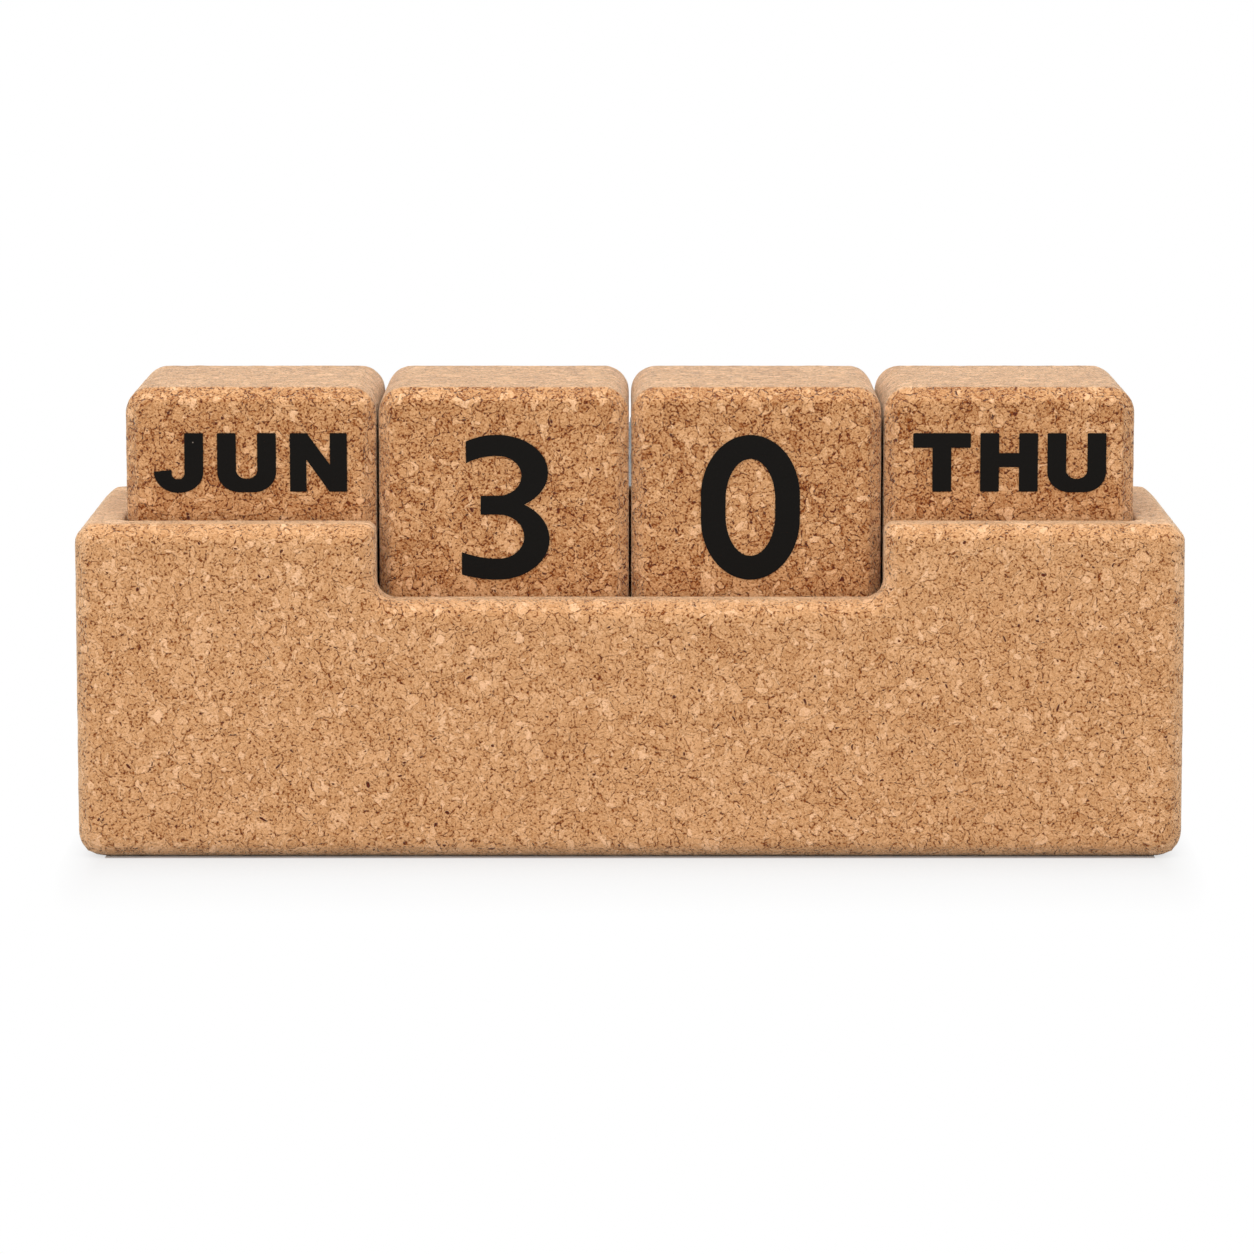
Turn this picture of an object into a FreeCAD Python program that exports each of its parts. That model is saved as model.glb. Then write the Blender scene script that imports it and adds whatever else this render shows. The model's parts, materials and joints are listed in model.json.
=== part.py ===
import FreeCAD, Part

# A perpetual desk calendar in agglomerated cork. Four printed blocks stand in a well
# along the top of a holder, and a shallow drawer slides out of its right-hand end.
# Millimetres. +Z is up, the front is towards -Y, and the origin is the centre of the
# underside.

import math
import os

from FreeCAD import Placement, Rotation, Vector

BEVEL = 2.6  # width of the bevels, on the blocks and the holder alike
BEVEL_EASE = 0.6  # radius along a bevel's two borders

# Blocks, in a row along X
BLOCK = 50.0  # edge length of a block
BLOCK_ROUND = 5.2  # radius of the four corners that show from the front
BLOCK_GAP = 0.3  # between two neighbours
BLOCK_NAMES = ("month", "tens", "units", "weekday")

# Holder
HOLDER_HEIGHT = 66.9
END_WALL = 9.2  # the walls at the two ends of the row
FACE_WALL = 9.0  # the front and back walls
END_GAP = 0.35  # from the row to an end wall
FACE_GAP = 1.0  # from a block to the front or back wall
WELL_DEPTH = 23.9  # how far the blocks sink into the holder
WELL_CORNER = 1.0  # radius of the well's upright corners
WELL_EASE = 0.4  # radius round the mouth of the well
SHELF = 7.0  # cork between the well and the drawer bay
BASE_ROUND = 5.0  # radius of the underside's two ends

# Notch in the front wall, in front of the two date blocks
NOTCH_BLOCKS = 2
NOTCH_DEPTH = 15.2
NOTCH_FOOT = 3.4  # radius in the notch's two lower corners
NOTCH_SHOULDER = 1.8  # radius of its two upper corners

# Base panel, let into the underside, and the hardwood runners on it
PANEL = 6.0  # thickness
GLUE_LINE = 0.1  # between the panel and the walls
RUNNER_WIDTH = 6.0
RUNNER_HEIGHT = 2.0
RUNNER_INSET = 6.0  # from the bay's long wall to a runner
RUNNER_END = 2.0  # from the bay's end to a runner's end

# Drawer
DRAWER_FRONT = 8.0  # thickness of its front, flush with the holder's end
DRAWER_WALL = 5.0
DRAWER_FLOOR = 3.5
FRONT_GAP = 0.6  # shadow gap round the drawer's front
FRONT_EASE = 0.8  # radius round the front's face
SIDE_GAP = 0.8  # from the drawer's sides to the bay's walls
RUN_GAP = 0.2  # from the runners to the drawer's floor
REAR_GAP = 0.5  # behind the closed drawer
REAR_HEAD_GAP = 1.0  # from the drawer's rear wall to the bay's ceiling
DRAWER_TRAVEL = 150.0
GRIP_WIDTH = 26.0  # finger slot through the drawer's front
GRIP_HEIGHT = 14.0
GRIP_EASE = 1.5  # radius round the slot's two mouths

# Stop pin: a dowel let into the bay's ceiling, which the drawer's rear wall meets
STOP_RADIUS = 2.5
STOP_DEPTH = 5.0  # length let into the cork
STOP_DROP = 3.0  # length below the ceiling
STOP_HOLE_GAP = 0.05  # glue round the dowel
STOP_GAP = 0.5  # left at full travel
STOP_CLEARANCE = 0.6  # from the dowel down to the drawer's sides

# Legends, a film of ink on the blocks' faces
INK = 0.12  # thickness
DIGIT_MARGIN = 10.5  # from a face's upper and lower edges to a digit
DIGIT_RISE = 1.1  # but it then stands this much higher
TENS_SHIFT = 0.4  # sideways, so that the date's two digits stand together
UNITS_SHIFT = -1.2
WORD_HEAD = 9.05  # from a face's upper edge to a word
WORD_FOOT = 4.25  # from a face's middle to a word's foot
WORD_MARGIN = 5.8  # from a face's side edges to a word that is spaced out
WORD_EDGE = 0.5  # kept clear between the widest word and the block's rounded edges
WORD_GAPS = (1.0, 3.0)  # least and most between two letters

# What each printed face carries: the top is bare, and the second word of a face stands
# upright when the block is turned upside down.
PRINTS = {
    "month": {
        "front": ("JUN", "DEC"),
        "right": ("JUL", "JAN"),
        "back": ("AUG", "FEB"),
        "left": ("SEP", "MAR"),
        "bottom": ("MAY", "APR"),
    },
    "tens": {"front": "3", "right": "2", "back": "1", "left": "0", "bottom": "4"},
    "units": {"front": "0", "right": "1", "back": "2", "left": "5", "bottom": "6"},
    "weekday": {
        "front": ("THU", "SUN"),
        "right": ("FRI",),
        "back": ("SAT",),
        "left": ("WED",),
        "bottom": ("TUE", "MON"),
    },
}

# Sizes that follow from those above
BLOCK_COUNT = len(BLOCK_NAMES)
PITCH = BLOCK + BLOCK_GAP
WELL_LENGTH = BLOCK_COUNT * PITCH - BLOCK_GAP + 2 * END_GAP
WELL_WIDTH = BLOCK + 2 * FACE_GAP
HOLDER_LENGTH = WELL_LENGTH + 2 * END_WALL
HOLDER_WIDTH = WELL_WIDTH + 2 * FACE_WALL
WELL_FLOOR = HOLDER_HEIGHT - WELL_DEPTH
NOTCH_WIDTH = NOTCH_BLOCKS * PITCH
NOTCH_BOTTOM = HOLDER_HEIGHT - NOTCH_DEPTH
BAY_CEILING = WELL_FLOOR - SHELF
END_FACE = HOLDER_LENGTH / 2
DRAWER_REAR = -WELL_LENGTH / 2 + REAR_GAP
DRAWER_SIDE = WELL_WIDTH / 2 - SIDE_GAP
DRAWER_BASE = PANEL + RUNNER_HEIGHT + RUN_GAP
DRAWER_SIDE_TOP = BAY_CEILING - STOP_DROP - STOP_CLEARANCE
BOX_END = END_FACE - DRAWER_FRONT
GRIP_LOW = (PANEL + BAY_CEILING - GRIP_HEIGHT) / 2
GRIP_SPAN = (GRIP_LOW, GRIP_LOW + GRIP_HEIGHT)
STOP_X = DRAWER_REAR + DRAWER_WALL + DRAWER_TRAVEL + STOP_GAP + STOP_RADIUS
DIGIT_HEIGHT = BLOCK - 2 * DIGIT_MARGIN
LETTER_HEIGHT = BLOCK / 2 - WORD_HEAD - WORD_FOOT
WORD_WIDTH = BLOCK - 2 * WORD_MARGIN
WORD_ROOM = BLOCK - 2 * (BLOCK_ROUND + WORD_EDGE)
SLACK = 0.01  # for comparing places


def slab(x, y, z):
    """A box from its (low, high) pair along each axis."""
    return Part.makeBox(x[1] - x[0], y[1] - y[0], z[1] - z[0], Vector(x[0], y[0], z[0]))


def middle(size):
    """The (low, high) pair of a size centred on zero."""
    return -size / 2, size / 2


def along(edge, axis):
    """Whether an edge is straight and runs along that axis (0, 1 or 2)."""
    box = edge.BoundBox
    lengths = (box.XLength, box.YLength, box.ZLength)
    return abs(lengths[axis] - edge.Length) < SLACK


def within(edge, x=None, y=None, z=None):
    """Whether the whole edge lies inside the (low, high) limits that are given."""
    box = edge.BoundBox
    reach = ((box.XMin, box.XMax, x), (box.YMin, box.YMax, y), (box.ZMin, box.ZMax, z))
    return all(
        limits is None or (limits[0] - SLACK <= low and high <= limits[1] + SLACK)
        for low, high, limits in reach
    )


def rounded(shape, radius, wanted):
    """The shape with a round of that radius on each edge that wanted picks."""
    return shape.makeFillet(radius, [edge for edge in shape.Edges if wanted(edge)])


def bevelled(shape, wanted):
    """The shape with a bevel on each edge that wanted picks."""
    return shape.makeChamfer(BEVEL, [edge for edge in shape.Edges if wanted(edge)])


def in_face(edge, depth):
    """Whether an edge lies in the front or the back face of a piece of that depth."""
    return any(within(edge, y=(face, face)) for face in middle(depth))


def is_border(edge, depth):
    """Whether an edge is a border of the bevels round the front and back faces."""
    faces = middle(depth)
    inner = middle(depth - 2 * BEVEL)
    return any(within(edge, y=(place, place)) for place in faces + inner)


# ---- Blocks


def block_centre(index):
    """The middle of a block that stands on its printed underside in its place."""
    x = (index - (BLOCK_COUNT - 1) / 2) * PITCH
    return Vector(x, 0, WELL_FLOOR + INK + BLOCK / 2)


def block(index):
    """A cork cube, rounded in its front view, with bevels round its front and its back."""
    half = middle(BLOCK)
    cube = slab(half, half, half)
    cube = rounded(cube, BLOCK_ROUND, lambda edge: along(edge, 1))
    cube = bevelled(cube, lambda edge: in_face(edge, BLOCK))
    cube = rounded(cube, BEVEL_EASE, lambda edge: is_border(edge, BLOCK))
    cube.translate(block_centre(index))
    return cube


# ---- Holder


def holder():
    """A bevelled body of cork with the well, the notch and the drawer bay cut out of it."""
    body = slab(middle(HOLDER_LENGTH), middle(HOLDER_WIDTH), (0, HOLDER_HEIGHT))
    body = rounded(body, BASE_ROUND, lambda edge: along(edge, 1) and within(edge, z=(0, 0)))
    body = bevelled(body, is_lower_outline)
    body = body.cut(well_cutter()).cut(notch_cutter())
    body = bevelled(body, is_outer_rim)
    body = rounded(body, NOTCH_SHOULDER, is_shoulder)
    body = rounded(body, BEVEL_EASE, lambda edge: is_border(edge, HOLDER_WIDTH))
    body = rounded(body, WELL_EASE, is_well_mouth)
    return body.cut(bay_cutter()).cut(stop_hole())


def well_cutter():
    """The space for the row of blocks, open at the top."""
    well = slab(middle(WELL_LENGTH), middle(WELL_WIDTH), (WELL_FLOOR, HOLDER_HEIGHT + 1))
    return rounded(well, WELL_CORNER, lambda edge: along(edge, 2))


def notch_cutter():
    """The notch with its rounded lower corners, run through the front wall."""
    through = (-HOLDER_WIDTH / 2 - 1, -WELL_WIDTH / 2 + 1)
    notch = slab(middle(NOTCH_WIDTH), through, (NOTCH_BOTTOM, HOLDER_HEIGHT + 1))
    lower = (NOTCH_BOTTOM, NOTCH_BOTTOM)
    return rounded(notch, NOTCH_FOOT, lambda edge: along(edge, 1) and within(edge, z=lower))


def is_lower_outline(edge):
    """The outline of the front and back faces, all but their upper edges."""
    rim = (HOLDER_HEIGHT, HOLDER_HEIGHT)
    return in_face(edge, HOLDER_WIDTH) and not within(edge, z=rim)


def is_outer_rim(edge):
    """The outer edge of the rim, and the notch's edge in the front face."""
    front = (-HOLDER_WIDTH / 2, -HOLDER_WIDTH / 2)
    rim = (HOLDER_HEIGHT, HOLDER_HEIGHT)
    on_rim = within(edge, z=rim) and not within(edge, middle(WELL_LENGTH), middle(WELL_WIDTH))
    crosses = within(edge, z=rim, x=middle(NOTCH_WIDTH)) and along(edge, 1)
    in_notch = within(edge, middle(NOTCH_WIDTH), front, (NOTCH_BOTTOM, HOLDER_HEIGHT))
    return in_notch or (on_rim and not crosses)


def is_shoulder(edge):
    """The notch's two upper corners, through the wall, with their rounded ends."""
    near = 2 * SLACK
    sides = any(
        within(edge, x=(side - near, side + near)) and along(edge, 1)
        for side in middle(NOTCH_WIDTH)
    )
    return sides and within(edge, z=(HOLDER_HEIGHT - near, HOLDER_HEIGHT + near))


def is_well_mouth(edge):
    """The inner edge of the rim, down into the notch and back."""
    inner_face = (-WELL_WIDTH / 2, -WELL_WIDTH / 2)
    above_lip = (NOTCH_BOTTOM, HOLDER_HEIGHT)
    on_rim = within(
        edge, middle(WELL_LENGTH), middle(WELL_WIDTH), (HOLDER_HEIGHT, HOLDER_HEIGHT)
    )
    return on_rim or within(edge, middle(WELL_LENGTH), inner_face, above_lip)


def bay_cutter():
    """The drawer bay, open below for the base panel and at the right-hand end."""
    bay = slab(middle(WELL_LENGTH), middle(WELL_WIDTH), (-1, BAY_CEILING))
    mouth = slab((0, END_FACE + 1), middle(WELL_WIDTH), (PANEL, BAY_CEILING))
    return bay.fuse(mouth)


def stop_hole():
    """The blind hole that the stop pin is glued into."""
    start = Vector(STOP_X, 0, BAY_CEILING - 1)
    return Part.makeCylinder(STOP_RADIUS + STOP_HOLE_GAP, STOP_DEPTH + 1, start)


def base_panel():
    """The cork panel that closes the bay from below."""
    length = middle(WELL_LENGTH - 2 * GLUE_LINE)
    return slab(length, middle(WELL_WIDTH - 2 * GLUE_LINE), (0, PANEL))


def runner(side):
    """A hardwood strip that the drawer glides on; side is -1 at the front, 1 at the back."""
    outer = side * (WELL_WIDTH / 2 - RUNNER_INSET)
    inner = outer - side * RUNNER_WIDTH
    across = (min(outer, inner), max(outer, inner))
    return slab(middle(WELL_LENGTH - 2 * RUNNER_END), across, (PANEL, PANEL + RUNNER_HEIGHT))


def stop_pin():
    """The dowel that hangs in the way of the drawer's rear wall."""
    start = Vector(STOP_X, 0, BAY_CEILING - STOP_DROP)
    return Part.makeCylinder(STOP_RADIUS, STOP_DROP + STOP_DEPTH, start)


# ---- Drawer


def drawer_front():
    """The drawer's front, set into the holder's end, with a slot for a fingertip."""
    across = middle(WELL_WIDTH - 2 * FRONT_GAP)
    upright = (PANEL + FRONT_GAP, BAY_CEILING - FRONT_GAP)
    front = slab((BOX_END, END_FACE), across, upright)
    front = rounded(front, FRONT_EASE, lambda edge: within(edge, x=(END_FACE, END_FACE)))
    return rounded(front.cut(grip_cutter()), GRIP_EASE, is_grip_mouth)


def grip_cutter():
    """The finger slot: straight with round ends, through the middle of the front."""
    depth = (BOX_END - 1, END_FACE + 1)
    slot = slab(depth, middle(GRIP_WIDTH - GRIP_HEIGHT), GRIP_SPAN)
    for y in middle(GRIP_WIDTH - GRIP_HEIGHT):
        start = Vector(depth[0], y, sum(GRIP_SPAN) / 2)
        end = Part.makeCylinder(GRIP_HEIGHT / 2, depth[1] - depth[0], start, Vector(1, 0, 0))
        slot = slot.fuse(end)
    return slot.removeSplitter()


def is_grip_mouth(edge):
    """The finger slot's edges in the two faces of the drawer's front."""
    return within(edge, y=middle(GRIP_WIDTH), z=GRIP_SPAN) and not along(edge, 0)


def drawer_floor():
    """The drawer's floor, under its sides and rear wall."""
    return slab(
        (DRAWER_REAR, BOX_END),
        (-DRAWER_SIDE, DRAWER_SIDE),
        (DRAWER_BASE, DRAWER_BASE + DRAWER_FLOOR),
    )


def drawer_side(side):
    """A long wall of the drawer; side is -1 at the front of the holder, 1 at the back."""
    outer = side * DRAWER_SIDE
    inner = outer - side * DRAWER_WALL
    across = (min(outer, inner), max(outer, inner))
    upright = (DRAWER_BASE + DRAWER_FLOOR, DRAWER_SIDE_TOP)
    return slab((DRAWER_REAR, BOX_END), across, upright)


def drawer_rear():
    """The drawer's rear wall, tall enough to meet the stop pin."""
    inside = DRAWER_SIDE - DRAWER_WALL
    upright = (DRAWER_BASE + DRAWER_FLOOR, BAY_CEILING - REAR_HEAD_GAP)
    return slab((DRAWER_REAR, DRAWER_REAR + DRAWER_WALL), (-inside, inside), upright)


# ---- Legends
# A glyph is drawn on a grid 100 high, as layers that alternate ink, bare, ink. A layer is
# a list of shapes, each written as its function and that function's values.

GRID = 100.0
LETTER_EASE = 2.1  # how far a letter's outward corners are cut back, on the grid
ALL = ("bl", "br", "tr", "tl")  # corners of a pad: bottom or top, left or right
LOW = ("bl", "br")
RIGHT = ("br", "tr")

STEM = 32  # a letter's upright stroke
BEAM = 25  # its level stroke
SLIM = 22  # a level stroke where a letter has three
DIGIT_STEM = 17
DIGIT_BEAM = 14.5
DIGIT_TOP = GRID - DIGIT_BEAM
DIGIT_BOWL = 23.5  # where the bowls of 2, 3 and 5 begin


def curve(start, pull, end, weight=1.0):
    """A curve from start to end, pulled towards the middle point."""
    bow = Part.BezierCurve()
    bow.setPoles([Vector(x, y, 0) for x, y in (start, pull, end)])
    bow.setWeight(2, weight)
    return bow.toShape()


def line(start, end):
    """A straight edge, as a list, or no edge where its ends meet."""
    if math.dist(start, end) < SLACK:
        return []
    return [Part.makeLine(Vector(*start, 0), Vector(*end, 0))]


def filled(edges):
    """A plate one unit thick inside a ring of edges."""
    return Part.Face(Part.Wire(edges)).extrude(Vector(0, 0, 1))


def bent(corners):
    """A plate with bent corners, each given as its point and the bend's start and end."""
    edges = []
    for (point, start, end), following in zip(corners, corners[1:] + corners[:1]):
        if start != end:
            edges.append(curve(start, point, end, math.sqrt(0.5)))
        edges += line(end, following[1])
    return filled(edges)


def flat(*points, ease):
    """A plate with straight edges between those points."""
    corners = []
    for before, point, after in zip(points[-1:] + points[:-1], points, points[1:] + points[:1]):
        ends = [
            tuple(a + (b - a) * ease / math.dist(point, other) for a, b in zip(point, other))
            for other in (before, after)
        ]
        corners.append((point, *ends))
    return bent(corners)


def bar(left, low, right, high, ease):
    """An upright rectangle."""
    return flat((left, low), (right, low), (right, high), (left, high), ease=ease)


def pad(left, low, right, high, across, up, corners, ease):
    """A rectangle whose named corners are quarter ellipses, across by up in radius."""
    walk = (
        ("bl", left, low, (0, 1), (1, 0)),
        ("br", right, low, (-1, 0), (0, 1)),
        ("tr", right, high, (0, -1), (-1, 0)),
        ("tl", left, high, (1, 0), (0, -1)),
    )
    bends = []
    for name, x, y, enter, leave in walk:
        wide, tall = (across, up) if name in corners else (ease, ease)
        start = (x + enter[0] * wide, y + enter[1] * tall)
        end = (x + leave[0] * wide, y + leave[1] * tall)
        bends.append(((x, y), start, end))
    return bent(bends)


def ribbon(start, pull, end, start_below, pull_below, end_below, ease):
    """A stroke between two curves, with straight ends."""
    edges = [curve(start, pull, end)] + line(end, end_below)
    edges += [curve(end_below, pull_below, start_below)] + line(start_below, start)
    return filled(edges)


UPPER_TAIL = (
    ribbon,
    (DIGIT_BOWL, 100), (13, 100), (3, 95.5),
    (DIGIT_BOWL, DIGIT_TOP), (13, DIGIT_TOP), (3, 80.5),
)
LOWER_TAIL = (
    ribbon,
    (DIGIT_BOWL, 0), (13, 0), (0, 3.5),
    (DIGIT_BOWL, DIGIT_BEAM), (13, DIGIT_BEAM), (0, 19),
)

LETTERS = {
    "A": (
        [(flat, (0, 0), (34, 100), (72, 100), (106, 0))],
        [
            (flat, (30, 0), (37, 20), (69, 20), (76, 0)),
            (flat, (44, 42), (62, 42), (53, 69)),
        ],
    ),
    "B": (
        [(pad, 0, 0, 97, 62, 36, 31, RIGHT), (pad, 0, 40, 93, 100, 34, 30, RIGHT)],
        [
            (pad, STEM, SLIM, 65, 40, 9, 9, RIGHT),
            (pad, STEM, 62, 61, 100 - SLIM, 8, 8, RIGHT),
        ],
    ),
    "C": (
        [(pad, 0, 0, 99, 100, 46, 43, ALL)],
        [(pad, STEM, BEAM, 69, 100 - BEAM, 18, 24, ALL), (bar, 60, 38, 101, 62)],
    ),
    "D": (
        [(pad, 0, 0, 101, 100, 48, 45, RIGHT)],
        [(pad, STEM, BEAM, 69, 100 - BEAM, 20, 24, RIGHT)],
    ),
    "E": (
        [
            (bar, 0, 0, STEM, 100),
            (bar, 0, 0, 85, SLIM),
            (bar, 0, 39, 80, 39 + SLIM),
            (bar, 0, 100 - SLIM, 85, 100),
        ],
    ),
    "F": ([(bar, 0, 0, STEM, 100), (bar, 0, 37, 77, 60), (bar, 0, 100 - BEAM, 83, 100)],),
    "G": (
        [(pad, 0, 0, 103, 100, 47, 43, ALL)],
        [(pad, STEM, BEAM, 71, 100 - BEAM, 18, 24, ALL), (bar, 62, 40, 105, 68)],
        [(bar, 54, 36, 103, 56), (bar, 73, 10, 103, 56)],
    ),
    "H": ([(bar, 0, 0, STEM, 100), (bar, 66, 0, 98, 100), (bar, 0, 42, 98, 66)],),
    "I": ([(bar, 0, 0, STEM, 100)],),
    "J": (
        [(bar, 52, 30, 84, 100), (pad, 0, -2, 84, 50, 41, 36, LOW)],
        [
            (flat, (-2, 34), (30, 37), (52, 37), (52, 52), (-2, 52)),
            (pad, 30, 21, 52, 50, 11, 11, LOW),
        ],
    ),
    "L": ([(bar, 0, 0, STEM, 100), (bar, 0, 0, 80, BEAM)],),
    "M": (
        [(bar, 0, 0, 116, 100)],
        [
            (flat, (29, 0), (44, 0), (29, 63)),
            (flat, (87, 0), (87, 63), (72, 0)),
            (flat, (39, 100), (58, 44), (77, 100)),
        ],
    ),
    "N": (
        [(bar, 0, 0, 97, 100)],
        [(flat, (28, 0), (67, 0), (28, 55)), (flat, (29, 100), (68, 46), (68, 100))],
    ),
    "O": (
        [(pad, 0, 0, 106, 100, 52, 46, ALL)],
        [(pad, STEM, BEAM, 74, 100 - BEAM, 21, 24, ALL)],
    ),
    "P": (
        [(bar, 0, 0, STEM, 100), (pad, 0, 33, 94, 100, 36, 33, RIGHT)],
        [(pad, STEM, 55, 62, 100 - SLIM, 11, 11, RIGHT)],
    ),
    "R": (
        [
            (bar, 0, 0, STEM, 100),
            (pad, 0, 37, 95, 100, 35, 31, RIGHT),
            (flat, (40, 42), (65, 0), (102, 0), (72, 46)),
        ],
        [(pad, STEM, 58, 62, 100 - SLIM, 10, 10, RIGHT)],
    ),
    "S": (
        [(pad, 0, 40, 92, 100, 38, 29, ALL)],
        [(pad, 30, 60, 62, 79, 9, 9, ALL), (bar, 58, 40, 94, 70)],
        [(pad, 40, 0, 94, 60, 40, 29, RIGHT), (pad, 2, 0, 60, 30, 38, 26, ("bl",))],
        [(pad, 32, 21, 64, 40, 9, 9, RIGHT)],
    ),
    "T": ([(bar, 0, 100 - BEAM, 98, 100), (bar, 33, 0, 65, 100)],),
    "U": (
        [
            (bar, 0, 30, STEM, 100),
            (bar, 100 - STEM, 30, 100, 100),
            (pad, 0, -1, 100, 50, 38, 35, LOW),
        ],
        [(pad, STEM, SLIM, 100 - STEM, 52, 18, 15, LOW)],
    ),
    "W": (
        [
            (flat, (0, 100), (24, 0), (56, 0), (65, 44), (74, 0), (106, 0), (130, 100),
             (99, 100), (87, 42), (76, 100), (54, 100), (43, 42), (31, 100)),
        ],
    ),
    "Y": (
        [
            (flat, (0, 100), (35, 42), (35, 0), (67, 0), (67, 42), (102, 100), (66, 100),
             (51, 70), (36, 100)),
        ],
    ),
}

DIGITS = {
    "0": (
        [(pad, 0, 0, 68, 100, 34, 42, ALL)],
        [(pad, DIGIT_STEM, 16.5, 51, 83.5, 17, 28, ALL)],
    ),
    "1": (
        [
            (bar, 20, 0, 38, 100),
            (flat, (2, 71), (32, 84), (32, 100), (20, 100), (2, 87)),
            (bar, 2, 0, 56, DIGIT_BEAM),
        ],
    ),
    "2": (
        [(pad, DIGIT_BOWL, 71, 58.5, 100, 34, 29, ("tr",))],
        [(pad, DIGIT_BOWL - 1, 70, 41, DIGIT_TOP, 16, 14, ("tr",))],
        [
            UPPER_TAIL,
            (ribbon, (58.5, 71), (58.5, 57), (24, 14), (41, 71), (41, 60), (0, 14)),
            (bar, 0, 0, 60, DIGIT_BEAM),
        ],
    ),
    "3": (
        [
            (pad, DIGIT_BOWL, 48, 59.3, 100, 34.8, 26, RIGHT),
            (pad, DIGIT_BOWL, 0, 60.3, 56, 36, 28, RIGHT),
        ],
        [
            (pad, DIGIT_BOWL - 1, 58, 41, DIGIT_TOP, 16, 13.7, RIGHT),
            (pad, DIGIT_BOWL - 1, DIGIT_BEAM, 42.8, 45, 17.5, 15.2, RIGHT),
        ],
        [UPPER_TAIL, LOWER_TAIL, (bar, 13, 45, DIGIT_BOWL + 1, 58)],
    ),
    "4": (
        [(flat, (0, 23), (54, 23), (54, 100), (36, 100), (0, 40))],
        [(flat, (18, 37), (37, 37), (37, 71))],
        [(bar, 0, 23, 66, 37), (bar, 37, 0, 54, 30)],
    ),
    "5": (
        [(pad, DIGIT_BOWL, 0, 60.3, 63, 36, 31.5, RIGHT)],
        [(pad, DIGIT_BOWL - 1, DIGIT_BEAM, 42.8, 49, 17.5, 17.2, RIGHT)],
        [
            LOWER_TAIL,
            (bar, 6, 49, DIGIT_BOWL + 1, 63),
            (bar, 6, 49, 22, 100),
            (bar, 6, DIGIT_TOP, 56, 100),
        ],
    ),
    "6": (
        [
            (pad, 0, 0, 63.5, 64, 31.7, 31, ALL),
            (ribbon, (0, 32), (0, 100), (56, 100), (17, 32), (17, DIGIT_TOP), (56, DIGIT_TOP)),
        ],
        [(pad, DIGIT_STEM, DIGIT_BEAM, 46.5, 49.5, 14.7, 15, ALL)],
    ),
}


def drawn(layer, ease):
    """The shapes of one layer as one plate."""
    plates = [shape(*values, ease=ease) for shape, *values in layer]
    return plates[0].multiFuse(plates[1:]) if len(plates) > 1 else plates[0]


def outline(layers, ease=0):
    """A glyph's flat shape on its grid, with its left end and its foot at 0."""
    plate = drawn(layers[0], ease)
    for number, layer in enumerate(layers[1:], start=1):
        bare = number % 2 == 1
        plate = plate.cut(drawn(layer, 0)) if bare else plate.fuse(drawn(layer, ease))
    plate = plate.removeSplitter()
    plate.translate(Vector(0, 0, -1))
    return Part.makeCompound([face for face in plate.Faces if within(face, z=(0, 0))])


def inked(shape, scale, left):
    """A glyph's film of ink at that scale, with its left end moved to that place."""
    shape.scale(scale)
    shape.translate(Vector(left - shape.BoundBox.XMin, 0, 0))
    return shape.extrude(Vector(0, 0, INK))


def word(letters):
    """A word's films of ink, spaced out about the Y axis and standing on the X axis."""
    shapes = [outline(LETTERS[letter], LETTER_EASE) for letter in letters]
    width = sum(shape.BoundBox.XLength for shape in shapes)
    gaps = len(shapes) - 1
    least, most = WORD_GAPS
    scale = min(LETTER_HEIGHT / GRID, (WORD_ROOM - gaps * least) / width)
    gap = min(max((WORD_WIDTH - width * scale) / gaps, least), most)
    left = -(width * scale + gaps * gap) / 2
    films = []
    for shape in shapes:
        films.append(inked(shape, scale, left))
        left = films[-1].BoundBox.XMax + gap
    return films


def words(pair):
    """A face's words: the first one high on the face, the second low and turned over."""
    films = []
    for letters, turn in zip(pair, (0, 180)):
        for film in word(letters):
            film.translate(Vector(0, WORD_FOOT, 0))
            film.rotate(Vector(), Vector(0, 0, 1), turn)
            films.append(film)
    return films


def digit(character, shift):
    """A face's digit, centred on the origin but for its shift and its rise."""
    shape = outline(DIGITS[character])
    scale = DIGIT_HEIGHT / GRID
    film = inked(shape, scale, shift - shape.BoundBox.XLength * scale / 2)
    film.translate(Vector(0, DIGIT_RISE - DIGIT_HEIGHT / 2, 0))
    return [film]


FACES = {  # a face's directions to the right and upwards, seen from outside
    "front": (Vector(1, 0, 0), Vector(0, 0, 1)),
    "right": (Vector(0, 1, 0), Vector(0, 0, 1)),
    "back": (Vector(-1, 0, 0), Vector(0, 0, 1)),
    "left": (Vector(0, -1, 0), Vector(0, 0, 1)),
    "bottom": (Vector(1, 0, 0), Vector(0, -1, 0)),
}
DIGIT_SHIFTS = {"tens": TENS_SHIFT, "units": UNITS_SHIFT}


def legends(index):
    """The ink on a block: a thin film on each of its five printed faces."""
    name = BLOCK_NAMES[index]
    ink = []
    for face, printed in PRINTS[name].items():
        right, up = FACES[face]
        outward = right.cross(up)
        place = Placement(
            block_centre(index) + outward * (BLOCK / 2), Rotation(right, up, outward, "ZXY")
        )
        films = digit(printed, DIGIT_SHIFTS[name]) if name in DIGIT_SHIFTS else words(printed)
        for film in films:
            film.Placement = place * film.Placement
        ink += films
    return Part.makeCompound(ink)


# ---- The whole calendar


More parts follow.
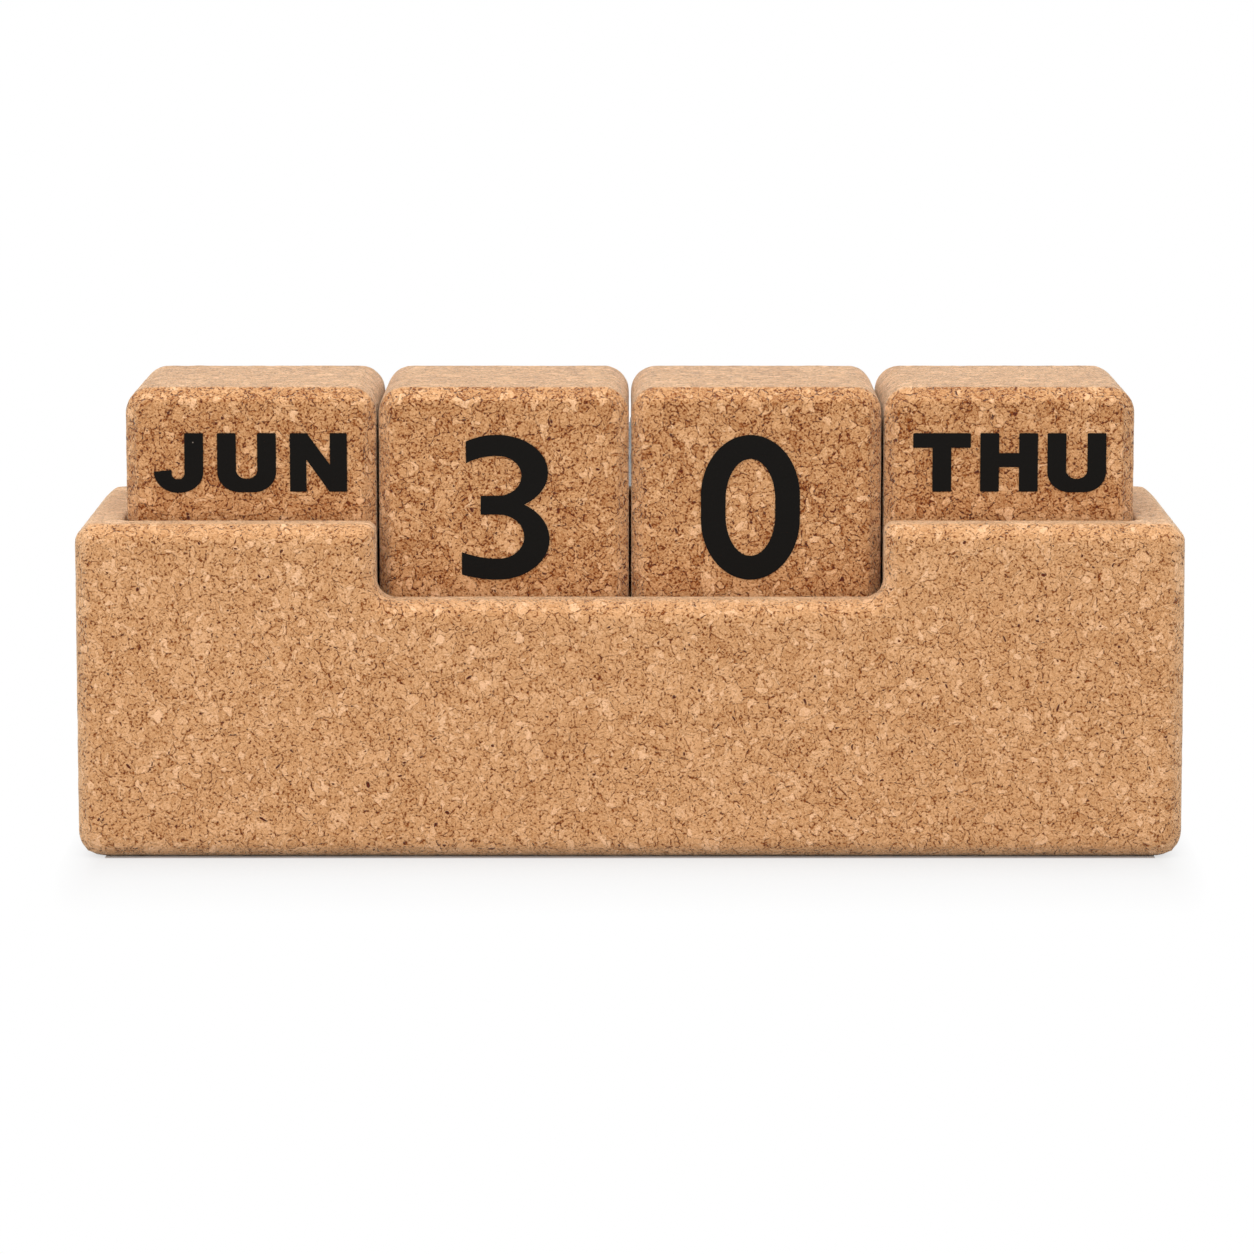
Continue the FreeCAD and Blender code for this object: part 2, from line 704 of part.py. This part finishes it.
def calendar():
    """Every piece by its name, in its place."""
    pieces = {
        "holder_body": holder(),
        "base_panel": base_panel(),
        "runner_front": runner(-1),
        "runner_back": runner(1),
        "drawer_stop": stop_pin(),
        "drawer_front": drawer_front(),
        "drawer_side_front": drawer_side(-1),
        "drawer_side_back": drawer_side(1),
        "drawer_rear": drawer_rear(),
        "drawer_floor": drawer_floor(),
    }
    for index, name in enumerate(BLOCK_NAMES):
        pieces[name + "_block"] = block(index)
        pieces[name + "_legends"] = legends(index)
    return pieces


os.makedirs("parts", exist_ok=True)
for name, shape in calendar().items():
    shape.exportStep("parts/" + name + ".step")
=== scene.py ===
import json
import math

import bpy
from bpy.props import FloatProperty, FloatVectorProperty, PointerProperty
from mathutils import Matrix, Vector

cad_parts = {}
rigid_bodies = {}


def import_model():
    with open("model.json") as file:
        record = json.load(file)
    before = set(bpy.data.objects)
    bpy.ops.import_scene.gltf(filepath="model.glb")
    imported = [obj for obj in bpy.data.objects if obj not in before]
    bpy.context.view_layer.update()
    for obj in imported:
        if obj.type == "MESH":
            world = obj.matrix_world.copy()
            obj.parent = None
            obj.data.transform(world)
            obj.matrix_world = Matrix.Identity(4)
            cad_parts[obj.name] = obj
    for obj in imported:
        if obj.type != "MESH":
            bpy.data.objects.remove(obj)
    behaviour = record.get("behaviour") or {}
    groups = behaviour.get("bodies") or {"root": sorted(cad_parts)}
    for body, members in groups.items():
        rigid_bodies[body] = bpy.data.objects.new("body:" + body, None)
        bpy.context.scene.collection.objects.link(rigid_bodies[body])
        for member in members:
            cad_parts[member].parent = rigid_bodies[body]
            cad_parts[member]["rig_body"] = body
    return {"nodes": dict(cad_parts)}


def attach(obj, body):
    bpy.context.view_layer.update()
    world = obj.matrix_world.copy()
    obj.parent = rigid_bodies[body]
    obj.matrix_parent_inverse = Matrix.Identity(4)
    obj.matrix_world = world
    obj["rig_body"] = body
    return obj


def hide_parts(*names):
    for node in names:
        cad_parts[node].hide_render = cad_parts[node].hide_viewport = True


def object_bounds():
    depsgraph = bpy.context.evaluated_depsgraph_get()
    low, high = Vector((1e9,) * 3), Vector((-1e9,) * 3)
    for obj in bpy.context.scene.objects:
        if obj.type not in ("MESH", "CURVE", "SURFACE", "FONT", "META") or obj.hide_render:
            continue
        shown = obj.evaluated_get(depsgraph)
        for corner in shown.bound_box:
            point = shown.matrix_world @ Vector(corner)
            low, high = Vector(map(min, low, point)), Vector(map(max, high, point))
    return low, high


bl_info = {
    "name": "Cork block calendar",
    "version": (1, 0, 0),
    "blender": (4, 5, 0),
    "location": "3D View > Sidebar > Calendar",
    "description": "Gives a cork block calendar with a drawer its surfaces and its stage",
    "category": "Add Mesh",
}

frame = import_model()
CAD_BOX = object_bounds()

MM = 0.001

# ---- Colours and materials


def linear(code):
    """The linear colour of an sRGB hex code."""
    values = [int(code[i:i + 2], 16) / 255 for i in (1, 3, 5)]
    return [v / 12.92 if v <= 0.04045 else ((v + 0.055) / 1.055) ** 2.4 for v in values]


def add(tree, kind, inputs=None, **settings):
    """A node of that kind with its settings. An input is a plain value or a link."""
    node = tree.nodes.new("ShaderNode" + kind)
    for name, value in settings.items():
        setattr(node, name, value)
    for key, value in (inputs or {}).items():
        if isinstance(value, bpy.types.NodeSocket):
            tree.links.new(value, node.inputs[key])
        else:
            node.inputs[key].default_value = value
    return node


def new_material(name, **shader_values):
    """A material with one Principled shader, whose plain values are given by name."""
    material = bpy.data.materials.new(name)
    material.use_nodes = True
    shader = material.node_tree.nodes["Principled BSDF"]
    for key, value in shader_values.items():
        shader.inputs[key.replace("_", " ")].default_value = value
    return material, material.node_tree, shader


def set_ramp(node, stops):
    """Gives a Color Ramp its stops, each a place from 0 to 1 and a linear colour."""
    elements = node.color_ramp.elements
    while len(elements) < len(stops):
        elements.new(0.5)
    for element, (place, colour) in zip(elements, stops):
        element.position = place
        element.color = (*colour, 1)


# How much each part of the cork's mottle weighs, for the granules and for the crumbs
GRANULE = {"tone": 0.11, "pale": 0.10, "seam": -0.11, "stroke": -0.36}
# dome_shade is painted shade: each crumb's colour darkens towards its edge as if it were a dome
# sunk between its neighbours; the bump raises the same dome
CRUMB = {"tone": 0.13, "pale": 0.20, "dome_shade": -0.08, "seam": -0.04, "stroke": -0.34, "pit": -0.75}
DUST = 0.60  # the fine dust's weight
MOTTLE_START = -0.29  # brings the sum of them all to zero in the middle
# Widths in millimetres
SEAM = 0.24
STROKE = 0.16
STROKE_CORE = 0.2  # share of a stroke's width that is fully dark
# Noises, in turns to a millimetre
BREAKS_SCALE = 2.0
DUST_SCALE = 2.6
DUST_SWIRL = 0.8
# How the cells are pushed about: waves to a cell's width, and push as a share of it
GRANULE_SWAY = (0.9, 1.3)
CRUMB_SWAY = (1.0, 0.35)
# Each part fades in between two limits of the chance or the distance that it depends on
OPEN_SEAMS = (0.34, 0.84)  # chance that a seam has opened into a stroke
SHUT_SEAM = -0.3  # a stroke's strength below those limits
PIT_RADII = (0.30, 0.16)  # shares of a cell's width
FALLEN_CRUMBS = (0.955, 0.965)
PALE_CELLS = (0.86, 0.94)


def cork_material(name, tone, contrast, cork):
    """Agglomerated cork: crushed bark pressed with a little binder, cut and sanded.

    Each granule has a tone of its own, with smaller crumbs between the granules and fine
    dust all over. The seams between them are faint and open here and there into a short
    dark stroke, and small round pits lie where a crumb has fallen out. The sanded surface
    is matt face on, and pale where it is seen nearly edge on.
    """
    material, tree, shader = new_material(name, Roughness=0.35, IOR=1.1, Sheen_Weight=0.6,
                                          Sheen_Roughness=0.5, Sheen_Tint=(1, 0.87, 0.64, 1))
    granule = cork.granule / MM
    crumb = cork.crumb / MM
    place = add(tree, "TexCoord").outputs["Object"]
    mm = add(tree, "VectorMath", {0: place, "Scale": 1 / MM}, operation="SCALE").outputs[0]

    # Two noises push the cells' seams about, so that no granule has straight sides.
    cells = mm
    for size, amount in ((granule / GRANULE_SWAY[0], GRANULE_SWAY[1] * granule),
                         (crumb / CRUMB_SWAY[0], CRUMB_SWAY[1] * crumb)):
        noise = add(tree, "TexNoise", {"Vector": cells, "Scale": 1 / size, "Detail": 1})
        push = add(tree, "VectorMath", {0: noise.outputs["Color"], 1: (0.5,) * 3},
                   operation="SUBTRACT")
        cells = add(tree, "VectorMath", {0: push.outputs[0], 1: (amount,) * 3, 2: cells},
                    operation="MULTIPLY_ADD").outputs[0]

    breaks = add(tree, "TexNoise", {"Vector": mm, "Scale": BREAKS_SCALE, "Detail": 0})
    breaks = add(tree, "SeparateColor", {0: breaks.outputs["Color"]}).outputs
    dust = add(tree, "TexNoise", {"Vector": mm, "Scale": DUST_SCALE, "Detail": 1,
                                  "Distortion": DUST_SWIRL})
    layers = [(dust.outputs["Fac"], DUST)]
    for size, chance, weights in ((granule, breaks[0], GRANULE), (crumb, breaks[1], CRUMB)):
        inside = add(tree, "TexVoronoi", {"Vector": cells, "Scale": 1 / size})
        edge = add(tree, "TexVoronoi", {"Vector": cells, "Scale": 1 / size},
                   feature="DISTANCE_TO_EDGE")
        own = add(tree, "SeparateColor", {0: inside.outputs["Color"]}).outputs
        soft = {}
        for part, value, limits, start in (
                ("seam", edge.outputs["Distance"], (SEAM / size, 0), 0),
                ("line", edge.outputs["Distance"], (STROKE / size, STROKE_CORE * STROKE / size), 0),
                ("open", chance, OPEN_SEAMS, SHUT_SEAM),
                ("pit", inside.outputs["Distance"], PIT_RADII, 0),
                ("fallen", own[0], FALLEN_CRUMBS, 0),
                ("pale", own[2], PALE_CELLS, 0)):
            soft[part] = add(tree, "MapRange", {"Value": value, "From Min": limits[0],
                                                "From Max": limits[1], "To Min": start},
                             interpolation_type="SMOOTHSTEP").outputs[0]
        stroke = add(tree, "Math", {0: soft["line"], 1: soft["open"]}, operation="MULTIPLY")
        pit = add(tree, "Math", {0: soft["pit"], 1: soft["fallen"]}, operation="MULTIPLY")
        # A crumb's distance from its middle gives the painted dome shade, darker towards its edge
        parts = {"tone": own[1], "pale": soft["pale"], "dome_shade": inside.outputs["Distance"],
                 "seam": soft["seam"], "stroke": stroke.outputs[0], "pit": pit.outputs[0]}
        layers += [(parts[part], weight) for part, weight in weights.items()]

    mottle = MOTTLE_START
    for value, weight in layers:
        mottle = add(tree, "Math", {0: value, 1: weight, 2: mottle},
                     operation="MULTIPLY_ADD").outputs[0]
    shade = add(tree, "Math", {0: mottle, 1: contrast, 2: tone}, operation="MULTIPLY_ADD")
    ramp = add(tree, "ValToRGB", {0: shade.outputs[0]})
    set_ramp(ramp, [(0, cork.pit), (0.25, cork.seam), (0.5, cork.middle), (0.7, cork.light),
                    (1, cork.pale)])
    tree.links.new(ramp.outputs[0], shader.inputs["Base Color"])
    bump = add(tree, "Bump", {"Height": mottle, "Distance": cork.relief})
    tree.links.new(bump.outputs[0], shader.inputs["Normal"])
    return material


PORE_SCALE = 0.3  # pores to a millimetre
PORE_RADII = (0.05, 0.02)  # shares of that spacing: where a pinhole begins and is full
RARE_PORE = 0.85  # chance above which a pore shows in the ink
INK_GRAIN = 1.3  # waves to a millimetre


def ink_material(cork, ink):
    """Screen-printed black ink: satin, even, with a few pinholes over the cork's pores."""
    material, tree, shader = new_material("Screen_printed_ink", Roughness=0.6,
                                          Specular_IOR_Level=0.06)
    place = add(tree, "TexCoord").outputs["Object"]
    mm = add(tree, "VectorMath", {0: place, "Scale": 1 / MM}, operation="SCALE").outputs[0]
    pores = add(tree, "TexVoronoi", {"Vector": mm, "Scale": PORE_SCALE})
    chance = add(tree, "SeparateColor", {0: pores.outputs["Color"]}).outputs[0]
    pore = add(tree, "MapRange", {"Value": pores.outputs["Distance"], "From Min": PORE_RADII[0],
                                  "From Max": PORE_RADII[1]})
    rare = add(tree, "Math", {0: chance, 1: RARE_PORE}, operation="GREATER_THAN")
    hole = add(tree, "Math", {0: pore.outputs[0], 1: rare.outputs[0]}, operation="MULTIPLY")
    colour = add(tree, "Mix", {0: hole.outputs[0], 6: (*ink.colour, 1), 7: (*ink.pinhole, 1)},
                 data_type="RGBA")
    tree.links.new(colour.outputs[2], shader.inputs["Base Color"])
    grain = add(tree, "TexNoise", {"Vector": mm, "Scale": INK_GRAIN, "Detail": 3.0})
    bump = add(tree, "Bump", {"Height": grain.outputs["Fac"], "Strength": 0.5,
                              "Distance": cork.relief / 3})
    tree.links.new(bump.outputs[0], shader.inputs["Normal"])
    return material


FLECKS = (60, 900, 900)  # flecks to a metre, along the grain and across it
FLECK_RELIEF = 0.1 * MM


def beech_material(hardwood):
    """Planed beech: pale, with short darker flecks drawn out along the grain."""
    material, tree, shader = new_material("Planed_beech", Roughness=0.55, Specular_IOR_Level=0.4)
    place = add(tree, "TexCoord").outputs["Object"]
    along = add(tree, "Mapping", {"Vector": place, "Scale": FLECKS})
    flecks = add(tree, "TexNoise", {"Vector": along.outputs[0], "Scale": 1.0, "Detail": 4.0})
    ramp = add(tree, "ValToRGB", {0: flecks.outputs["Fac"]})
    set_ramp(ramp, [(0.35, hardwood.fleck), (0.6, hardwood.colour)])
    tree.links.new(ramp.outputs[0], shader.inputs["Base Color"])
    bump = add(tree, "Bump", {"Height": flecks.outputs["Fac"], "Strength": 0.3,
                              "Distance": FLECK_RELIEF})
    tree.links.new(bump.outputs[0], shader.inputs["Normal"])
    return material


# ---- Settings


def colour_property(name, description, code):
    """A colour that a user can change, given first as an sRGB hex code."""
    return FloatVectorProperty(name=name, description=description, subtype="COLOR", size=3,
                               min=0, max=1, default=linear(code))


class CorkSettings(bpy.types.PropertyGroup):
    """The cork's grain and relief."""

    granule: FloatProperty(name="Granule", description="Width of a large granule",
                           default=3.0 * MM, min=0.5 * MM, unit="LENGTH", precision=4)
    crumb: FloatProperty(name="Crumb", description="Width of the crumbs between the granules",
                         default=1.2 * MM, min=0.2 * MM, unit="LENGTH", precision=4)
    relief: FloatProperty(name="Relief", description="Depth of the fine seams and pits",
                          default=0.4 * MM, min=0, unit="LENGTH", precision=4)
    swell: FloatProperty(name="Swell", description="How far the granules stand out of the surface",
                         default=0.09 * MM, min=0, unit="LENGTH", precision=4)
    holder_tone: FloatProperty(name="Holder's tone", description="How light the holder's cork is",
                               default=0.53, min=0, max=1)
    holder_contrast: FloatProperty(name="Holder's contrast",
                                   description="How much the tones of its granules differ",
                                   default=1.14, min=0)
    block_tone: FloatProperty(name="Blocks' tone", description="How light the blocks' cork is",
                              default=0.405, min=0, max=1)
    block_contrast: FloatProperty(name="Blocks' contrast",
                                  description="How much the tones of their granules differ",
                                  default=1.24, min=0)
    pit: colour_property("Pit", "Colour at the bottom of a pit", "#5A1800")
    seam: colour_property("Seam", "Colour of the strokes between granules", "#8A450E")
    middle: colour_property("Middle", "Colour of a granule of middle tone", "#C38C5B")
    light: colour_property("Light", "Colour of a light granule", "#DCA675")
    pale: colour_property("Pale", "Colour of the palest granules", "#F6C397")


class InkSettings(bpy.types.PropertyGroup):
    """The legends' ink."""

    colour: colour_property("Ink", "Colour of the printed legends", "#12100E")
    pinhole: colour_property("Pinhole", "Colour of the pinholes in the ink", "#9A8E80")


class HardwoodSettings(bpy.types.PropertyGroup):
    """The runners and the stop pin."""

    colour: colour_property("Beech", "Colour of the planed beech", "#D2A878")
    fleck: colour_property("Fleck", "Colour of its darker flecks", "#A87C50")
    ease: FloatProperty(name="Ease", description="How far a sharp edge is taken off",
                        default=0.3 * MM, min=0, unit="LENGTH", precision=4)


class StageSettings(bpy.types.PropertyGroup):
    """The lamps and the floor."""

    key: FloatProperty(name="Top lamp", description="Power of the lamp above",
                       default=10.6, min=0, unit="POWER")
    fill: FloatProperty(name="Front lamp", description="Power of the lamp in front",
                        default=5.6, min=0, unit="POWER")
    left: FloatProperty(name="Left lamp", description="Power of the lamp at the left",
                        default=3.4, min=0, unit="POWER")
    right: FloatProperty(name="Right lamp", description="Power of the lamp at the right",
                         default=2.6, min=0, unit="POWER")
    ambient: FloatProperty(name="Room light", description="Strength of the even light all round",
                           default=0.53, min=0)


SETTINGS = {"cork": CorkSettings, "ink": InkSettings, "hardwood": HardwoodSettings,
            "stage": StageSettings}

# ---- Modelling helpers


def select_only(piece):
    """Makes a piece the only selected one, and the active one."""
    bpy.ops.object.select_all(action="DESELECT")
    piece.select_set(True)
    bpy.context.view_layer.objects.active = piece


def merged_copy(node, name):
    """A copy of a CAD node's mesh with its corners merged, as a new piece."""
    piece = bpy.data.objects.new(name, frame["nodes"][node].data.copy())
    bpy.context.scene.collection.objects.link(piece)
    piece.data.materials.clear()
    select_only(piece)
    bpy.ops.object.mode_set(mode="EDIT")
    bpy.ops.mesh.select_all(action="SELECT")
    bpy.ops.mesh.remove_doubles(threshold=0.001 * MM)
    bpy.ops.object.mode_set(mode="OBJECT")
    return piece


def apply_modifier(piece, name, kind, **settings):
    """Adds a modifier to the piece and applies it."""
    modifier = piece.modifiers.new(name, kind)
    for key, value in settings.items():
        setattr(modifier, key, value)
    select_only(piece)
    bpy.ops.object.modifier_apply(modifier=modifier.name)


def stand_in(piece, node, material):
    """Lets a finished piece stand for a CAD node and ride where it rides."""
    piece.data.materials.append(material)
    body = frame["nodes"][node]["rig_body"]
    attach(piece, body)
    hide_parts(node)


def cork_piece(node, material, fineness, cork):
    """A cork piece in an even mesh, whose granules swell out of a surface sunk by as much."""
    piece = merged_copy(node, node + "_cork")
    apply_modifier(piece, "Even mesh", "REMESH", mode="VOXEL", voxel_size=fineness,
                   use_smooth_shade=True)
    granules = bpy.data.textures.new("Granules", "VORONOI")
    granules.noise_scale = cork.granule
    lumps = bpy.data.textures.new("Lumps", "CLOUDS")
    lumps.noise_scale = cork.granule / 2
    apply_modifier(piece, "Granules", "DISPLACE", texture=granules, texture_coords="LOCAL",
                   strength=-cork.swell, mid_level=0.0)
    apply_modifier(piece, "Lumps", "DISPLACE", texture=lumps, texture_coords="LOCAL",
                   strength=cork.swell, mid_level=1.0)
    stand_in(piece, node, material)


def settings():
    """The scene's settings, group by group."""
    scene = bpy.context.scene
    return {name: getattr(scene, "calendar_" + name) for name in SETTINGS}


# ---- Pieces

# How fine each cork piece's mesh is
HOLDER_MESH = 1.15 * MM
PANEL_MESH = 1.3 * MM
DRAWER_FRONT_MESH = 0.5 * MM
DRAWER_WALL_MESH = 1.0 * MM
BLOCK_MESH = 0.62 * MM
BLOCK_NAMES = ("month", "tens", "units", "weekday")
SHARP_EDGE = math.radians(40)
SMOOTH_EDGE = math.radians(35)


class MakeHolder(bpy.types.Operator):
    """The holder and the base panel let into its underside"""

    bl_idname = "calendar.make_holder"
    bl_label = "Holder"

    def execute(self, context):
        cork = settings()["cork"]
        material = cork_material("Agglomerated_cork", cork.holder_tone, cork.holder_contrast, cork)
        cork_piece("holder_body", material, HOLDER_MESH, cork)
        cork_piece("base_panel", material, PANEL_MESH, cork)
        return {"FINISHED"}


class MakeDrawer(bpy.types.Operator):
    """The drawer's five panels"""

    bl_idname = "calendar.make_drawer"
    bl_label = "Drawer"

    def execute(self, context):
        cork = settings()["cork"]
        material = cork_material("Agglomerated_cork_drawer", cork.holder_tone,
                                 cork.holder_contrast, cork)
        cork_piece("drawer_front", material, DRAWER_FRONT_MESH, cork)
        for node in ("drawer_side_front", "drawer_side_back", "drawer_rear", "drawer_floor"):
            cork_piece(node, material, DRAWER_WALL_MESH, cork)
        return {"FINISHED"}


class MakeBlocks(bpy.types.Operator):
    """The four blocks"""

    bl_idname = "calendar.make_blocks"
    bl_label = "Blocks"

    def execute(self, context):
        cork = settings()["cork"]
        material = cork_material("Darker_agglomerated_cork", cork.block_tone,
                                 cork.block_contrast, cork)
        for name in BLOCK_NAMES:
            cork_piece(name + "_block", material, BLOCK_MESH, cork)
        return {"FINISHED"}


class PrintLegends(bpy.types.Operator):
    """The ink on the blocks"""

    bl_idname = "calendar.print_legends"
    bl_label = "Legends"

    def execute(self, context):
        groups = settings()
        material = ink_material(groups["cork"], groups["ink"])
        for name in BLOCK_NAMES:
            legends = frame["nodes"][name + "_legends"]
            for slot in legends.material_slots:
                slot.material = material
        return {"FINISHED"}


class MakeHardwood(bpy.types.Operator):
    """The drawer's runners and its stop pin"""

    bl_idname = "calendar.make_hardwood"
    bl_label = "Runners and stop"

    def execute(self, context):
        hardwood = settings()["hardwood"]
        material = beech_material(hardwood)
        for node in ("runner_front", "runner_back", "drawer_stop"):
            piece = merged_copy(node, node + "_beech")
            apply_modifier(piece, "Eased edges", "BEVEL", width=hardwood.ease, segments=3,
                           limit_method="ANGLE", angle_limit=SHARP_EDGE)
            bpy.ops.object.shade_smooth_by_angle(angle=SMOOTH_EDGE)
            stand_in(piece, node, material)
        return {"FINISHED"}


# ---- Stage

TARGET = Vector((-0.6, 0.0, 41.6)) * MM  # what the camera looks at
CAMERA_DISTANCE = 1146 * MM
CAMERA_PITCH = math.radians(8.13)
SENSOR = 36.0
LENS = 161.2  # mm on that sensor
FOOT_INSET = Vector((5.5, 1.3, 0)) * MM  # from the object's box to where it meets the floor
SHADOW_REACH = (9 * MM, 60 * MM, 1.0)  # how far the lit floor reaches at the sides and in front
SHADOW_VEIL = ((0, 0), (0.015, 0.6), (0.4, 0.8), (1, 1))  # share of white along that reach
FLOOR_SIZE = 30  # metres, as the lamps' places are
FLOOR_GREY = 0.55
FAR_CLIP = 100

# Each lamp's name, place, aim, size and the setting that holds its power
LAMPS = (
    ("Top_lamp", (-0.05, -0.05, 1.1), (0, 0, 0.03), 1.1, "key"),
    ("Front_lamp", (-0.08, -1.35, 0.7), (0, 0, 0.04), 0.9, "fill"),
    ("Left_lamp", (-1.1, -0.55, 0.55), (0, 0, 0.04), 0.9, "left"),
    ("Right_lamp", (1.1, -0.55, 0.55), (0, 0, 0.04), 0.9, "right"),
)


def seen_or_mirrored(tree):
    """1 for what the camera sees, straight or by way of gloss or glass, and 0 for light."""
    path = add(tree, "LightPath").outputs
    seen = add(tree, "Math", {0: path["Is Camera Ray"], 1: path["Is Glossy Ray"]},
               operation="MAXIMUM")
    return add(tree, "Math", {0: seen.outputs[0], 1: path["Is Transmission Ray"]},
               operation="MAXIMUM").outputs[0]


def room(ambient):
    """The world: an even light at the ambient strength, which is seen and mirrored as white."""
    world = bpy.data.worlds.new("Room")
    world.use_nodes = True
    tree = world.node_tree
    strength = add(tree, "MapRange", {"Value": seen_or_mirrored(tree), "To Min": ambient})
    background = tree.nodes["Background"]
    background.inputs["Color"].default_value = (1, 1, 1, 1)
    tree.links.new(strength.outputs[0], background.inputs["Strength"])
    return world


def floor_material():
    """A white sweep: lit near the object, so that it holds the shadow, and pure white beyond."""
    material, tree, shader = new_material("White_sweep", Roughness=1.0, Specular_IOR_Level=0.0)
    shader.inputs["Base Color"].default_value = (*(FLOOR_GREY,) * 3, 1)
    place = add(tree, "TexCoord").outputs["Object"]
    folded = add(tree, "VectorMath", {0: place}, operation="ABSOLUTE").outputs[0]
    foot = Vector(CAD_BOX[1]) - FOOT_INSET
    outside = add(tree, "VectorMath", {0: folded, 1: foot}, operation="SUBTRACT").outputs[0]
    outside = add(tree, "VectorMath", {0: outside, 1: (0, 0, 0)}, operation="MAXIMUM").outputs[0]
    reach = add(tree, "VectorMath", {0: outside, 1: SHADOW_REACH}, operation="DIVIDE").outputs[0]
    distance = add(tree, "VectorMath", {0: reach}, operation="LENGTH").outputs["Value"]
    beyond = add(tree, "ValToRGB", {0: distance})
    set_ramp(beyond, [(place, (share,) * 3) for place, share in SHADOW_VEIL])
    white = add(tree, "Emission", {"Color": (1, 1, 1, 1), "Strength": 1.0})
    share = add(tree, "Math", {0: beyond.outputs[0], 1: seen_or_mirrored(tree)},
                operation="MULTIPLY")
    final = add(tree, "MixShader", {0: share.outputs[0], 1: shader.outputs[0], 2: white.outputs[0]})
    output = tree.nodes["Material Output"]
    tree.links.new(final.outputs[0], output.inputs["Surface"])
    return material


def area_lamp(name, place, aim, size, power):
    """A square soft lamp."""
    lamp = bpy.data.lights.new(name, "AREA")
    lamp.shape = "SQUARE"
    lamp.size = size
    lamp.energy = power
    piece = bpy.data.objects.new(name, lamp)
    bpy.context.scene.collection.objects.link(piece)
    piece.location = place
    piece.rotation_euler = (Vector(aim) - Vector(place)).to_track_quat("-Z", "Y").to_euler()


class MakeStage(bpy.types.Operator):
    """The floor, the lamps and the camera"""

    bl_idname = "calendar.make_stage"
    bl_label = "Stage"

    def execute(self, context):
        stage = settings()["stage"]
        scene = context.scene
        bpy.ops.object.select_all(action="DESELECT")
        bpy.ops.mesh.primitive_plane_add(size=FLOOR_SIZE)
        floor = context.object
        floor.name = "Floor"
        floor.data.materials.append(floor_material())

        for name, place, aim, size, power in LAMPS:
            area_lamp(name, place, aim, size, getattr(stage, power))
        scene.world = room(stage.ambient)

        camera = bpy.data.cameras.new("Camera")
        camera.sensor_width = SENSOR
        camera.lens = LENS
        camera.clip_end = FAR_CLIP
        eye = bpy.data.objects.new("Camera", camera)
        scene.collection.objects.link(eye)
        away = Vector((0, -math.cos(CAMERA_PITCH), math.sin(CAMERA_PITCH)))
        eye.location = TARGET + away * CAMERA_DISTANCE
        eye.rotation_euler = (math.pi / 2 - CAMERA_PITCH, 0, 0)
        scene.camera = eye
        scene.view_settings.view_transform = "Standard"
        return {"FINISHED"}


# ---- Panel and registration

OPERATORS = (MakeHolder, MakeDrawer, MakeBlocks, PrintLegends, MakeHardwood, MakeStage)


class CalendarPanel(bpy.types.Panel):
    """Settings and pieces of the calendar"""

    bl_idname = "VIEW3D_PT_calendar"
    bl_label = "Cork calendar"
    bl_space_type = "VIEW_3D"
    bl_region_type = "UI"
    bl_category = "Calendar"

    def draw(self, context):
        layout = self.layout
        for group in settings().values():
            box = layout.box()
            for name in group.bl_rna.properties.keys():
                if name not in ("rna_type", "name"):
                    box.prop(group, name)
        for operator in OPERATORS:
            layout.operator(operator.bl_idname)


CLASSES = (*SETTINGS.values(), *OPERATORS, CalendarPanel)


def register():
    for each in CLASSES:
        bpy.utils.register_class(each)
    for name, group in SETTINGS.items():
        setattr(bpy.types.Scene, "calendar_" + name, PointerProperty(type=group))


def unregister():
    for name in SETTINGS:
        delattr(bpy.types.Scene, "calendar_" + name)
    for each in reversed(CLASSES):
        bpy.utils.unregister_class(each)


def main():
    register()
    bpy.ops.calendar.make_holder()
    bpy.ops.calendar.make_drawer()
    bpy.ops.calendar.make_blocks()
    bpy.ops.calendar.print_legends()
    bpy.ops.calendar.make_hardwood()
    bpy.ops.calendar.make_stage()


if __name__ == "__main__":
    main()
